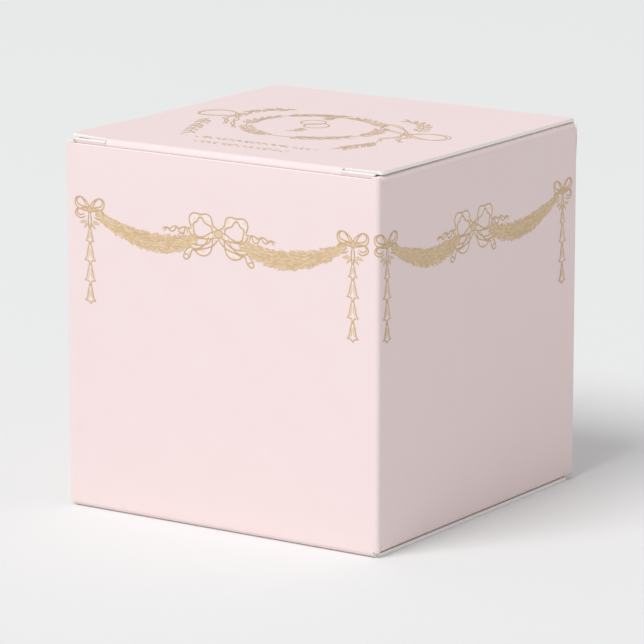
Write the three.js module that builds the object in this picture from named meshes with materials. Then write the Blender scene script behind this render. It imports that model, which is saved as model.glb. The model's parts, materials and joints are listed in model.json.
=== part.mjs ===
// A small square favour box: a reverse-tuck folding carton cut from one sheet of board.
// Millimetres, +Z up. The origin is at the middle of the footprint, on the surface it stands on.
// The front wall faces -Y. The lid hinges on the back wall and tucks in behind the front wall;
// the base hinges on the front wall and tucks in behind the back wall.
import * as THREE from "three";

// Driving dimensions.
const FOOTPRINT = 50.8; // outer width and depth over the walls
const HEIGHT = 51.7; // outer height over the closed lid and base
const BOARD = 0.46; // thickness of the board
const LAYER_GAP = 0.1; // air between two boards that lie on each other
const CORNER_FOLD = 0.35; // mid-board radius of the four upright folds
const FLAP_FOLD = 0.55; // mid-board radius of the folds that open
const FOLD_GAP = 0.1; // slit between a fold strip and the panels that it joins

const WALL_EDGE_DROP = 0.95; // a wall's raw edge, below the outer face of the closure over it
const LID_SIDE_INSET = 0.3; // the lid's side edges, inside the side walls
const LEDGE_INSET = 1.3; // the lid's corner ledges, behind the front face
const SLIT = 6.35; // the locking slit at each end of the tuck fold
const SLIT_KERF = 0.15;

const TUCK_DEPTH = 13;
const TUCK_LEAN = 12.4; // degrees that a closed tuck flap leans in from upright
const TUCK_SIDE_INSET = 1.1; // the tuck flap's sides, inside the side walls' outer faces
const TUCK_TAPER = 1.2; // how much narrower each side of the flap is at its free edge
const TUCK_CORNER = 6;

const DUST_LENGTH = 22;
const DUST_FRONT_INSET = 2.1; // the dust flaps' front edges, behind the front face
const DUST_BACK_INSET = 1.43; // and their back edges at the fold, before the back face
const DUST_SLOPE = 0.6; // how fast the back edge draws in along the flap's length
const DUST_CORNER = 2.5;

const SEAM_FLAP_WIDTH = 8.5;
const SEAM_FLAP_BEVEL = 2; // how far the seam flap's ends slope in
const SEAM_FLAP_CLEARANCE = 0.6; // between the seam flap's ends and the dust flaps
const GLUE_INSET = 1.5; // the glue line, inside the seam flap's outline
const GLUE_FILM = 0.06;

const EDGE_RADIUS = 0.4; // small radius on a panel's cut corners
const ARC_STEPS = 8;

// Places worked out from them.
const WALL = (FOOTPRINT - BOARD) / 2; // middle of the board in each wall
const LID_LEVEL = HEIGHT - BOARD / 2; // middle of the board in the lid
const DUST_LEVEL = LID_LEVEL - BOARD - LAYER_GAP;
const INNER_LAYER = WALL - BOARD - LAYER_GAP; // a board that lies against a wall's inner face
const QUARTER_TURN = 90;
const TUCK_TURN = QUARTER_TURN + TUCK_LEAN;

const radians = THREE.MathUtils.degToRad;

// How far from the fold line a panel starts, where the fold has this radius and turn.
function setBack(radius, turn) {
  return radius * Math.tan(radians(turn) / 2) + FOLD_GAP;
}

const CORNER_START = setBack(CORNER_FOLD, QUARTER_TURN);
const FLAP_START = setBack(FLAP_FOLD, QUARTER_TURN);
const TUCK_START = setBack(FLAP_FOLD, TUCK_TURN);

// Printed board: pale pink, matt. The fold strips are a little lighter, where the coat is stretched.
function printedBoard() {
  return new THREE.MeshStandardMaterial({ color: 0xf3dfdd, roughness: 0.72, metalness: 0 });
}

function foldedBoard() {
  return new THREE.MeshStandardMaterial({ color: 0xf6e8e6, roughness: 0.8, metalness: 0 });
}

function driedGlue() {
  return new THREE.MeshStandardMaterial({ color: 0xe9e4d6, roughness: 0.35, metalness: 0 });
}

// An outline through the corners, each [x, y, radius], with the radius rounding the corner off.
function outline(corners) {
  const shape = new THREE.Shape();
  corners.forEach(([x, y, radius = 0], i) => {
    const corner = new THREE.Vector2(x, y);
    const before = new THREE.Vector2(...corners.at(i - 1));
    const after = new THREE.Vector2(...corners[(i + 1) % corners.length]);
    const start = before.sub(corner).setLength(radius).add(corner);
    const end = after.sub(corner).setLength(radius).add(corner);
    if (i === 0) shape.moveTo(start.x, start.y);
    else shape.lineTo(start.x, start.y);
    if (radius > 0) shape.quadraticCurveTo(x, y, end.x, end.y);
  });
  shape.closePath();
  return shape;
}

// A flat panel in the local XY plane, its thickness centred on Z = 0.
function panel(name, corners, material = printedBoard(), thickness = BOARD) {
  const geometry = new THREE.ExtrudeGeometry(outline(corners), {
    depth: thickness,
    bevelEnabled: false,
    curveSegments: ARC_STEPS,
  });
  geometry.translate(0, 0, -thickness / 2);
  const mesh = new THREE.Mesh(geometry, material);
  mesh.name = name;
  return mesh;
}

// A fold strip. The first panel comes along local +X to the fold line, which is the local Z axis,
// and the second goes on, turned towards local -Y.
function foldStrip(name, length, radius, turn) {
  const inner = radius - BOARD / 2;
  const outer = radius + BOARD / 2;
  const from = radians(QUARTER_TURN);
  const to = radians(QUARTER_TURN - turn);
  const x = -radius * Math.tan(radians(turn) / 2);
  const section = new THREE.Shape();
  section.absarc(x, -radius, outer, from, to, true);
  section.absarc(x, -radius, inner, to, from, false);
  section.closePath();
  const geometry = new THREE.ExtrudeGeometry(section, {
    depth: length,
    bevelEnabled: false,
    curveSegments: ARC_STEPS,
  });
  geometry.translate(0, 0, -length / 2);
  const mesh = new THREE.Mesh(geometry, foldedBoard());
  mesh.name = name;
  return mesh;
}

// Turns an object so that its local X and Y lie along two directions of its parent.
function aim(object, xAxis, yAxis) {
  const x = new THREE.Vector3(...xAxis);
  const y = new THREE.Vector3(...yAxis);
  const basis = new THREE.Matrix4().makeBasis(x, y, x.clone().cross(y));
  object.quaternion.setFromRotationMatrix(basis);
  return object;
}

// A wall panel, drawn as seen from outside, between two distances along it and two heights.
function wallPanel(name, left, right, bottom, top) {
  const wall = panel(name, [
    [left, bottom, EDGE_RADIUS],
    [right, bottom, EDGE_RADIUS],
    [right, top, EDGE_RADIUS],
    [left, top, EDGE_RADIUS],
  ]);
  aim(wall, [1, 0, 0], [0, 0, 1]);
  wall.position.y = -WALL;
  return wall;
}

// An upright fold at a wall's right-hand end, with its fold line at this distance along the wall.
function uprightFold(name, along) {
  const height = HEIGHT - 2 * SIDE_WALL_END;
  const fold = aim(foldStrip(name, height, CORNER_FOLD, QUARTER_TURN), [1, 0, 0], [0, -1, 0]);
  fold.position.set(along, -WALL, HEIGHT / 2);
  return fold;
}

const SIDE_WALL_END = HEIGHT - DUST_LEVEL + FLAP_START; // above the base, and below the lid
const HINGED_END = HEIGHT - LID_LEVEL + FLAP_START;

// The sleeve: four walls and their upright folds, each wall drawn at the front and turned into place.
function sleeve() {
  const end = WALL - CORNER_START;
  const seam = INNER_LAYER - CORNER_START;
  const rawEnd = FOOTPRINT / 2 - LAYER_GAP / 2;
  const sides = [
    { wall: "front_wall", fold: "front_right_fold", at: WALL, left: -end, right: end },
    { wall: "right_wall", fold: "back_right_fold", at: WALL, left: -end, right: end },
    { wall: "back_wall", fold: "seam_fold", at: INNER_LAYER, left: -end, right: seam },
    { wall: "left_wall", fold: "front_left_fold", at: WALL, left: -rawEnd, right: end },
  ];
  const heights = [
    [HINGED_END, HEIGHT - WALL_EDGE_DROP],
    [SIDE_WALL_END, HEIGHT - SIDE_WALL_END],
    [WALL_EDGE_DROP, HEIGHT - HINGED_END],
    [SIDE_WALL_END, HEIGHT - SIDE_WALL_END],
  ];
  const group = new THREE.Group();
  sides.forEach(({ wall, fold, at, left, right }, i) => {
    const side = new THREE.Group();
    side.add(wallPanel(wall, left, right, ...heights[i]));
    side.add(uprightFold(fold, at));
    side.rotation.z = radians(i * QUARTER_TURN);
    group.add(side);
  });
  return group;
}

// The seam flap inside the left wall, and the film of glue between them.
function sideSeam() {
  const bottom = SIDE_WALL_END + SEAM_FLAP_CLEARANCE;
  const top = HEIGHT - bottom;
  const near = WALL - CORNER_START;
  const far = near - SEAM_FLAP_WIDTH;
  const flap = panel("seam_flap", [
    [near, bottom],
    [near, top],
    [far, top - SEAM_FLAP_BEVEL, EDGE_RADIUS],
    [far, bottom + SEAM_FLAP_BEVEL, EDGE_RADIUS],
  ]);
  const glueLow = bottom + SEAM_FLAP_BEVEL + GLUE_INSET;
  const glueHigh = HEIGHT - glueLow;
  const glue = panel(
    "seam_glue",
    [
      [near - GLUE_INSET, glueLow, EDGE_RADIUS],
      [near - GLUE_INSET, glueHigh, EDGE_RADIUS],
      [far + GLUE_INSET, glueHigh, EDGE_RADIUS],
      [far + GLUE_INSET, glueLow, EDGE_RADIUS],
    ],
    driedGlue(),
    GLUE_FILM,
  );
  aim(flap, [0, 1, 0], [0, 0, 1]);
  aim(glue, [0, 1, 0], [0, 0, 1]);
  flap.position.x = -INNER_LAYER;
  glue.position.x = -INNER_LAYER - (BOARD + LAYER_GAP) / 2;
  const group = new THREE.Group();
  group.add(flap, glue);
  return group;
}

// The lid, seen from above, hinged at the back: flat ledges outside the slits, the tuck fold between.
function cover(name) {
  const side = FOOTPRINT / 2 - LID_SIDE_INSET;
  const back = WALL - FLAP_START;
  const ledge = -FOOTPRINT / 2 + LEDGE_INSET;
  const tongue = -INNER_LAYER + TUCK_START;
  const slit = FOOTPRINT / 2 - SLIT;
  const lid = panel(name, [
    [-side, back, EDGE_RADIUS],
    [-side, ledge, EDGE_RADIUS],
    [-slit - SLIT_KERF, ledge],
    [-slit - SLIT_KERF, tongue],
    [slit + SLIT_KERF, tongue],
    [slit + SLIT_KERF, ledge],
    [side, ledge, EDGE_RADIUS],
    [side, back, EDGE_RADIUS],
  ]);
  lid.position.z = LID_LEVEL;
  return lid;
}

// The tuck flap below the cover's front edge, and the fold strip that carries it.
function tuck(flapName, foldName) {
  const top = FOOTPRINT / 2 - TUCK_SIDE_INSET;
  const foot = top - TUCK_TAPER;
  const flap = panel(flapName, [
    [-top, -TUCK_START, EDGE_RADIUS],
    [-foot, -TUCK_DEPTH, TUCK_CORNER],
    [foot, -TUCK_DEPTH, TUCK_CORNER],
    [top, -TUCK_START, EDGE_RADIUS],
  ]);
  const lean = radians(TUCK_LEAN);
  aim(flap, [1, 0, 0], [0, -Math.sin(lean), Math.cos(lean)]);
  const fold = foldStrip(foldName, FOOTPRINT - 2 * SLIT, FLAP_FOLD, TUCK_TURN);
  aim(fold, [0, -1, 0], [0, 0, 1]);
  for (const piece of [flap, fold]) piece.position.set(0, -INNER_LAYER, LID_LEVEL);
  return [flap, fold];
}

// One dust flap under the cover and its fold strip; side is +1 on the right and -1 on the left.
function dustFlap(name, foldName, side) {
  const root = WALL - FLAP_START;
  const tip = WALL - DUST_LENGTH;
  const front = -FOOTPRINT / 2 + DUST_FRONT_INSET;
  const back = FOOTPRINT / 2 - DUST_BACK_INSET;
  const flap = panel(name, [
    [side * root, front, EDGE_RADIUS],
    [side * root, back - DUST_SLOPE * FLAP_START, EDGE_RADIUS],
    [side * tip, back - DUST_SLOPE * DUST_LENGTH, DUST_CORNER],
    [side * tip, front, DUST_CORNER],
  ]);
  flap.position.z = DUST_LEVEL;
  const fold = foldStrip(foldName, back - front, FLAP_FOLD, QUARTER_TURN);
  aim(fold, [side, 0, 0], [0, 0, 1]);
  fold.position.set(side * WALL, (front + back) / 2, DUST_LEVEL);
  return [flap, fold];
}

// One end of the carton, drawn as the top end: cover, tuck flap and two dust flaps.
function closure(coverName, end) {
  const hinge = foldStrip(`${end}_hinge_fold`, FOOTPRINT - 2 * HINGE_END_INSET, FLAP_FOLD, QUARTER_TURN);
  aim(hinge, [0, 1, 0], [0, 0, 1]);
  hinge.position.set(0, WALL, LID_LEVEL);
  const group = new THREE.Group();
  group.add(cover(coverName), hinge);
  group.add(...tuck(`${end}_tuck_flap`, `${end}_tuck_fold`));
  group.add(...dustFlap(`${end}_right_dust_flap`, `${end}_right_dust_fold`, 1));
  group.add(...dustFlap(`${end}_left_dust_flap`, `${end}_left_dust_fold`, -1));
  return group;
}

const HINGE_END_INSET = 0.75; // the hinge folds' ends, inside the side walls' outer faces

const box = new THREE.Group();
box.add(sleeve(), sideSeam(), closure("lid", "top"));
const bottomEnd = closure("base", "bottom"); // the same closure, turned over from back to front
bottomEnd.rotation.x = Math.PI;
bottomEnd.position.z = HEIGHT;
box.add(bottomEnd);

export default box;
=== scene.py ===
# %% [markdown]
# # A printed favour box
# A small carton is one sheet of pale pink board, cut to shape, scored where it bends, glued once and
# folded up. Its print is a gold festoon on each wall and a wreath on the lid. The packed model holds
# the panels, the folds and the joints. This notebook gives each of them a real board's look: cut
# white edges, soft folds, a little swell in the panels, and the print as a thin film of ink.
# The first cell loads the packed model and keeps its nodes and joints.

import json
import math

import bmesh
import bpy
import numpy as np
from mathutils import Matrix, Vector


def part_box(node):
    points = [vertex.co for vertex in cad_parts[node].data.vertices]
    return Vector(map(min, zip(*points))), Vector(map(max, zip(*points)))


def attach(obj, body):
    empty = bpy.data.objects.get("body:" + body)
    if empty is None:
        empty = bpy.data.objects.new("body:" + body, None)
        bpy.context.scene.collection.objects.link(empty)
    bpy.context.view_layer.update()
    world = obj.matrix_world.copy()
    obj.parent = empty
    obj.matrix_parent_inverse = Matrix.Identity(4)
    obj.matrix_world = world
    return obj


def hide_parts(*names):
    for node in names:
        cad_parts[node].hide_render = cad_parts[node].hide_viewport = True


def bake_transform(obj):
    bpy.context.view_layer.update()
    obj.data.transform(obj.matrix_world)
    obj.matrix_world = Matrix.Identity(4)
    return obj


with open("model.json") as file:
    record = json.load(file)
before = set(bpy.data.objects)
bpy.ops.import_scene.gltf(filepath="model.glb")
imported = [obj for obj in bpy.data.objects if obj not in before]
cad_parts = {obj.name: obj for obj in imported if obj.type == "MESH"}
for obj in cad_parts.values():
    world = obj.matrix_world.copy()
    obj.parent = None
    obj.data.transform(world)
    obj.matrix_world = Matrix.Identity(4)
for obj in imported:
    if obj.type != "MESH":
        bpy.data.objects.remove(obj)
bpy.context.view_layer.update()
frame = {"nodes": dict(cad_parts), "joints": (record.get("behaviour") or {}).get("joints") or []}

# %% [markdown]
# ## Sizes
# A carton's dieline is a few sizes: the box, the board and the radius of each kind of fold. They
# could be typed in again here, but two lists of sizes drift apart. So every size comes from the
# packed model: a joint's place is a fold line, and a node's box gives a panel's ends. The shapes are
# worked out in millimetres, and the one function that makes meshes turns them into metres.

# %% Read the carton's sizes
MM = 0.001


def extent(node):
    """A packed node's lowest and highest corner in millimetres."""
    low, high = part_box(node)
    return np.array(low) / MM, np.array(high) / MM


fold_line = {j["name"]: np.array(j["pos_m"]) / MM for j in frame["joints"]}
half = extent("right_wall")[1][0]
top = extent("lid")[1][2]
board = extent("lid")[1][2] - extent("lid")[0][2]
corner_radius = extent("front_right_fold")[1][0] - extent("front_right_fold")[0][0]
flap_radius = extent("top_hinge_fold")[1][2] - extent("top_hinge_fold")[0][2]
flap_middle = flap_radius - board / 2
inner_layer = -fold_line["top_tuck_crease"][1]
dust_top = fold_line["top_right_dust_crease"][2] + board / 2
QUARTER = math.pi / 2
TUCK_LEAN = math.radians(12.4)  # how far a closed tuck flap leans in from upright
tuck_turn = QUARTER + TUCK_LEAN
butt = 0.15  # how far past the bend a fold strip runs before the flat panel takes over
print(f"board {board:.2f}, corner fold {corner_radius:.2f}, flap fold {flap_radius:.2f} mm")

# %% [markdown]
# ## Nodes written as sums
# A material or a geometry tree is a graph of small nodes. It could be wired link by link, as in the
# editor, but a script like that is hard to read. Here one class holds a socket and lets Python's own
# + - * / add the Math nodes. Each has its reflected form too, so that a plain number may come first.

# %% A socket that does arithmetic
class Wire:
    """One output socket. Sums on wires add Math nodes to their graph."""

    def __init__(self, graph, socket):
        self.graph = graph
        self.socket = socket

    def __add__(self, other):
        return self.graph.maths("ADD", self, other)

    def __sub__(self, other):
        return self.graph.maths("SUBTRACT", self, other)

    def __rsub__(self, other):
        return self.graph.maths("SUBTRACT", other, self)

    def __mul__(self, other):
        return self.graph.maths("MULTIPLY", self, other)

    def __truediv__(self, other):
        return self.graph.maths("DIVIDE", self, other)

    def __rtruediv__(self, other):
        return self.graph.maths("DIVIDE", other, self)

    __radd__ = __add__
    __rmul__ = __mul__


print("reflected forms:", ", ".join(name for name in vars(Wire) if name.startswith("__r")))

# %% [markdown]
# Any other node comes from `Graph.node`, which takes the node's settings first and then its sockets.
# Each kind could have a function of its own, but only a few are used often enough for that. Colours
# go through a Mix node, because a Math node turns a colour grey.

# %% The graph that the sockets live in
class Graph:
    """A node tree, a shader's or a geometry modifier's, built from short calls."""

    def __init__(self, tree):
        self.tree = tree

    def node(self, kind, settings=None, sockets=None, out=0):
        """Adds a node, sets it, feeds its sockets by name or number, and returns one output."""
        made = self.tree.nodes.new(kind)
        for name, value in (settings or {}).items():
            setattr(made, name, value)
        for name, value in (sockets or {}).items():
            if isinstance(value, Wire):
                self.tree.links.new(value.socket, made.inputs[name])
            else:
                made.inputs[name].default_value = value
        return Wire(self, made.outputs[out]) if len(made.outputs) else None

    def maths(self, operation, *values):
        """A Math node on wires or numbers."""
        return self.node("ShaderNodeMath", {"operation": operation}, dict(enumerate(values)))

    def ramp(self, value, stops):
        """A colour ramp with stops of (place, colour)."""
        made = self.tree.nodes.new("ShaderNodeValToRGB")
        while len(made.color_ramp.elements) < len(stops):
            made.color_ramp.elements.new(1.0)
        for element, (place, colour) in zip(made.color_ramp.elements, stops):
            element.position = place
            element.color = colour
        self.tree.links.new(value.socket, made.inputs["Fac"])
        return Wire(self, made.outputs["Color"])

    def blend(self, share, first, second):
        """Mixes two colours, each a wire or four numbers."""
        return self.node(
            "ShaderNodeMix",
            {"data_type": "RGBA"},
            {"Factor": share, 6: first, 7: second},
            out=2,
        )

    def noise(self, place, scale, detail=3.0, rough=0.55):
        """Noise from 0 to 1 at a place; scale is in waves a metre."""
        sockets = {"Vector": place, "Scale": scale, "Detail": detail, "Roughness": rough}
        return self.node("ShaderNodeTexNoise", {}, sockets)


print("short calls:", ", ".join(name for name in vars(Graph) if not name.startswith("_")))

# %% [markdown]
# Inks and papers are matched as screen values, 0 to 255. A shader works with linear light, so
# a colour is converted once, here. A colour socket in the editor does the same behind the scenes.

# %% Turn a screen colour into a linear one
def paint(red, green, blue):
    """A screen colour, 0 to 255, as the linear colour that a shader takes."""
    share = [c / 255 for c in (red, green, blue)]
    return [c / 12.92 if c <= 0.04045 else ((c + 0.055) / 1.055) ** 2.4 for c in share] + [1.0]


print("a pale pink coat in linear light:", [round(c, 3) for c in paint(244, 226, 226)])

# %% [markdown]
# ## A finish starts the same way each time
# Every finish here is one Principled shader with object coordinates and some bump. It could be
# copied from material to material, but then a fix has to be made in each copy. Constants go straight
# to the shader's sockets, and only what varies over the surface is linked.

# %% Start a material
def finish(name, **constants):
    """A new material: its graph, its Principled node and the object coordinates."""
    material = bpy.data.materials.new(name)
    material.use_nodes = True
    tree = material.node_tree
    tree.nodes.clear()
    graph = Graph(tree)
    shader = tree.nodes.new("ShaderNodeBsdfPrincipled")
    output = tree.nodes.new("ShaderNodeOutputMaterial")
    tree.links.new(shader.outputs[0], output.inputs["Surface"])
    for socket, value in constants.items():
        shader.inputs[socket.replace("_", " ")].default_value = value
    place = graph.node("ShaderNodeTexCoord", out="Object")
    return material, graph, shader, place


def feed(graph, shader, socket, wire):
    """Links a wire to one of the shader's sockets."""
    graph.tree.links.new(wire.socket, shader.inputs[socket])


def tooth(graph, shader, height, strength, distance):
    """Bump from a height."""
    settings = {"Strength": strength, "Distance": distance, "Height": height}
    feed(graph, shader, "Normal", graph.node("ShaderNodeBump", {}, settings))


def attribute(graph, name):
    """A number that the mesh carries."""
    return graph.node("ShaderNodeAttribute", {"attribute_name": name}, out="Fac")


print("finishes read object coordinates and the meshes' own numbers")

# %% [markdown]
# ## The board's three faces
# Carton board shows three finishes, and the first is the printed face: a pink coat with a faint
# cloudiness and a fine tooth, which cracks finely where it is folded and is painted paler along each
# fold, partly as the coat's whitening there and partly as a painted highlight on the fold. A scan of
# board could be used, but it repeats and shows its seams. Noise in object coordinates runs on from
# one panel to the next. The mesh's `crease` number, 1 in the middle of a fold, says where it is bent.

# %% The printed face
def make_printed_face():
    """Pink coat: soft clouds, a fine tooth, fine cracks, and paler folds that are partly a painted
    highlight.
    """
    material, graph, shader, place = finish("printed_face", Specular_IOR_Level=0.35)
    crease = attribute(graph, "crease")
    clouds = graph.noise(place, 160.0, detail=4.0)
    tooth_noise = graph.noise(place, 5200.0, detail=2.0)
    fibres = graph.noise(place, 1500.0, detail=3.0)
    pink = graph.blend(clouds, paint(242, 222, 222), paint(244, 226, 226))
    speckled = graph.blend(fibres * 0.25, pink, paint(238, 214, 213))
    cracks = graph.maths("GREATER_THAN", fibres * crease, 0.56)
    # paler along each fold: partly the coat's whitening, partly a painted highlight on the fold
    folded = graph.blend(crease * 0.12, speckled, paint(249, 234, 232))
    feed(graph, shader, "Base Color", graph.blend(cracks * 0.3, folded, paint(252, 244, 242)))
    feed(graph, shader, "Roughness", 0.52 + 0.16 * fibres + 0.12 * crease)
    tooth(graph, shader, tooth_noise * 0.6 + fibres * 0.4, 0.22, 0.00003)
    return material


PRINTED_FACE = make_printed_face()
print("finish:", PRINTED_FACE.name, "with", len(PRINTED_FACE.node_tree.nodes), "nodes")

# %% [markdown]
# The inside is bare board: warm white, fibrous, with a few flecks. One noise could do colour, gloss
# and bump alike, but real flecks lie apart from the fibres, so they get a coarser noise of their own,
# cut off by a threshold.

# %% The bare inside
def make_inside_face():
    """Bare back of the board: warm white with long fibres and a few flecks."""
    material, graph, shader, place = finish("inside_face", Specular_IOR_Level=0.2)
    fibres = graph.noise(place, 1400.0, detail=5.0, rough=0.65)
    flecks = graph.noise(place, 600.0, detail=2.0)
    white = graph.blend(fibres, paint(236, 230, 222), paint(250, 247, 242))
    speck = graph.maths("GREATER_THAN", flecks, 0.68)
    feed(graph, shader, "Base Color", graph.blend(speck * 0.2, white, paint(214, 203, 190)))
    feed(graph, shader, "Roughness", 0.78 + 0.15 * fibres)
    tooth(graph, shader, fibres, 0.5, 0.00006)
    return material


INSIDE_FACE = make_inside_face()
print("finish:", INSIDE_FACE.name, "with", len(INSIDE_FACE.node_tree.nodes), "nodes")

# %% [markdown]
# A cut edge shows the white plies, with the coat as a thin pink line at the outside. The plies could
# be modelled as layers, at a great cost in faces. A mesh number, `through`, runs from 0 at the
# printed face to 1 at the inside instead, and a sine of it draws the plies wherever the edge turns.

# %% The cut edge
PLIES = 26.0  # the sine's phase through the board, which is about four plies


def make_cut_edge():
    """Cut edge: white plies with the coat's pink line at the outside."""
    material, graph, shader, place = finish("cut_edge", Specular_IOR_Level=0.15)
    through = attribute(graph, "through")
    fuzz = graph.noise(place, 2600.0, detail=4.0, rough=0.7)
    plies = graph.maths("SINE", (through + fuzz * 0.06) * PLIES) * 0.5 + 0.5
    core = graph.blend(plies * 0.5, paint(254, 252, 250), paint(243, 238, 234))
    coat = graph.maths("LESS_THAN", through + fuzz * 0.04, 0.07)
    feed(graph, shader, "Base Color", graph.blend(coat, core, paint(244, 222, 221)))
    feed(graph, shader, "Roughness", 0.82 + 0.1 * fuzz)
    tooth(graph, shader, fuzz + plies * 0.4, 0.35, 0.00004)
    return material


BOARD_FACES = [PRINTED_FACE, make_cut_edge(), INSIDE_FACE]
print("board finishes:", [m.name for m in BOARD_FACES])

# %% [markdown]
# ## Gold ink
# The festoons are printed in a satin gold. Each shade could be a material of its own, but then a
# ribbon couldn't run softly from cream to gold. One number on the print's mesh, `tone`, says which
# ink a point has: 0 is the dark outline, the middle is leaf gold, and 1 is a ribbon's cream fill.

# %% The gold ink
def make_gold_ink():
    """Gold ink from dark outline to cream fill, a little uneven, as ink on board is."""
    material, graph, shader, place = finish("gold_ink", Specular_IOR_Level=0.3)
    tone = attribute(graph, "tone")
    uneven = graph.noise(place, 2400.0, detail=3.0)
    shade = tone + (uneven - 0.5) * 0.16
    inks = [
        (0.0, paint(198, 166, 124)),
        (0.3, paint(217, 187, 147)),
        (0.55, paint(227, 200, 163)),
        (0.78, paint(238, 216, 192)),
        (0.92, paint(246, 228, 224)),
    ]
    feed(graph, shader, "Base Color", graph.ramp(shade, inks))
    feed(graph, shader, "Metallic", 0.12 - 0.12 * graph.maths("MINIMUM", tone, 1.0))
    feed(graph, shader, "Roughness", 0.42 + 0.16 * uneven)
    tooth(graph, shader, uneven, 0.15, 0.00002)
    return material


GOLD_INK = make_gold_ink()
print("finish:", GOLD_INK.name, "with", len(GOLD_INK.node_tree.nodes), "nodes")

# %% [markdown]
# ## Dried glue
# One line of glue holds the side seam, and it dries to a pale, slightly glossy film. The packed
# model's own solid already has its shape, so it stays, and only gets a finish of its own.

# %% The glue in the side seam
def make_dried_glue():
    """Dried glue: pale, uneven and slightly glossy."""
    material, graph, shader, place = finish("dried_glue", Specular_IOR_Level=0.5)
    swirls = graph.noise(place, 700.0, detail=3.0)
    pale = graph.blend(swirls, paint(232, 226, 208), paint(246, 242, 230))
    feed(graph, shader, "Base Color", pale)
    feed(graph, shader, "Roughness", 0.25 + 0.3 * swirls)
    tooth(graph, shader, swirls, 0.4, 0.00005)
    return material


glue_node = frame["nodes"]["seam_glue"]
glue_node.data.materials.clear()
glue_node.data.materials.append(make_dried_glue())
print("finish:", glue_node.data.materials[0].name, "on", glue_node.name)

# %% [markdown]
# ## From points to a piece
# Everything below ends as one closed mesh, with its place in its points. A mesh could be built with
# operators, which need a context and a selection. Handing Blender the points and faces is quicker
# and the same each time. The numbers that the finishes read, such as `through`, go in with them.

# %% Make a mesh object
def to_mesh(name, points, faces, slots, materials, **numbers):
    """A mesh object from points in millimetres, its face slots and its numbers for each point."""
    mesh = bpy.data.meshes.new(name)
    mesh.from_pydata((np.asarray(points) * MM).tolist(), [], faces)
    mesh.polygons.foreach_set("material_index", slots)
    for key, values in numbers.items():
        layer = mesh.attributes.new(key, "FLOAT", "POINT")
        layer.data.foreach_set("value", np.asarray(values, np.float32))
    for material in materials:
        mesh.materials.append(material)
    made = bpy.data.objects.new(name, mesh)
    bpy.context.scene.collection.objects.link(made)
    return made


def face_outwards(piece, sharp=None):
    """Turns a closed mesh's faces outwards, and shades it smooth with edges over `sharp` kept."""
    work = bmesh.new()
    work.from_mesh(piece.data)
    bmesh.ops.recalc_face_normals(work, faces=work.faces)
    work.to_mesh(piece.data)
    work.free()
    piece.data.polygons.foreach_set("use_smooth", [True] * len(piece.data.polygons))
    if sharp is not None:
        piece.data.set_sharp_from_angle(angle=sharp)


print("points are in millimetres, and one unit of the scene is", 1 / MM, "of them")

# %% [markdown]
# ## A piece of board
# Each panel starts flat. It could be a plane with Solidify and Bevel, but a cut edge of board isn't
# a round bevel, and two faces and an edge need three finishes. So its outline is a row of columns,
# each with a low and a high end, which is enough for any panel of a carton. Its faces come from one
# grid, used for the printed face and again for the inside, and from rings of quads down the edge.

# %% The outline and the faces of a piece of board
PRINTED, CUT, INSIDE = range(3)  # the places of the finishes in BOARD_FACES
EDGE_PROFILE = [(0.07, 0.0), (0.5, 0.014), (0.93, 0.0)]  # (share of the depth, belly) down an edge


def rim_of(across, up):
    """The grid's rim, once round, as index pairs."""
    low = [(i, 0) for i in range(across)]
    right = [(across - 1, j) for j in range(1, up)]
    high = [(i, up - 1) for i in range(across - 2, -1, -1)]
    left = [(0, j) for j in range(up - 2, 0, -1)]
    return low + right + high + left


def ways_out(at):
    """At each point of the rim, a step of 1 straight out of the outline."""
    way = np.roll(at, -1, axis=0) - np.roll(at, 1, axis=0)
    out = np.stack([way[:, 1], -way[:, 0]], axis=1)
    return out / np.maximum(np.linalg.norm(out, axis=1), 1e-9)[:, None]


def board_faces(index, rim):
    """The faces and their finishes: both sides of the grid, then the rings of the edge."""
    size = index.size
    faces, slots = [], []
    for i in range(index.shape[0] - 1):
        for j in range(index.shape[1] - 1):
            quad = [index[i, j], index[i + 1, j], index[i + 1, j + 1], index[i, j + 1]]
            faces += [[int(q) for q in quad], [int(q) + size for q in reversed(quad)]]
            slots += [PRINTED, INSIDE]
    edge = [int(index[r]) for r in rim]
    starts = [2 * size + k * len(rim) for k in range(len(EDGE_PROFILE))]
    loops = [edge, *[list(range(s, s + len(rim))) for s in starts], [e + size for e in edge]]
    for upper, lower in zip(loops, loops[1:]):
        for k in range(len(rim)):
            n = (k + 1) % len(rim)
            faces.append([upper[n], upper[k], lower[k], lower[n]])
            slots.append(CUT)
    return faces, slots


print("an edge has", len(EDGE_PROFILE), "rings between its two rims")

# %% [markdown]
# The flat grid is placed by a function that knows how the board bends, once at the printed face and
# once at the inside. Bevelled edges would all be alike, but a die cuts board in its own way: the two
# rims are rolled a little and the edge bellies in the middle. Where one piece butts against the
# next, the edge stays square, so the two meet without a gap.

# %% Make one closed piece of board
EDGE_ROLL = 0.03  # how far a cut edge's two rims are rolled in
EDGE_SHARP = math.radians(32)


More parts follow.
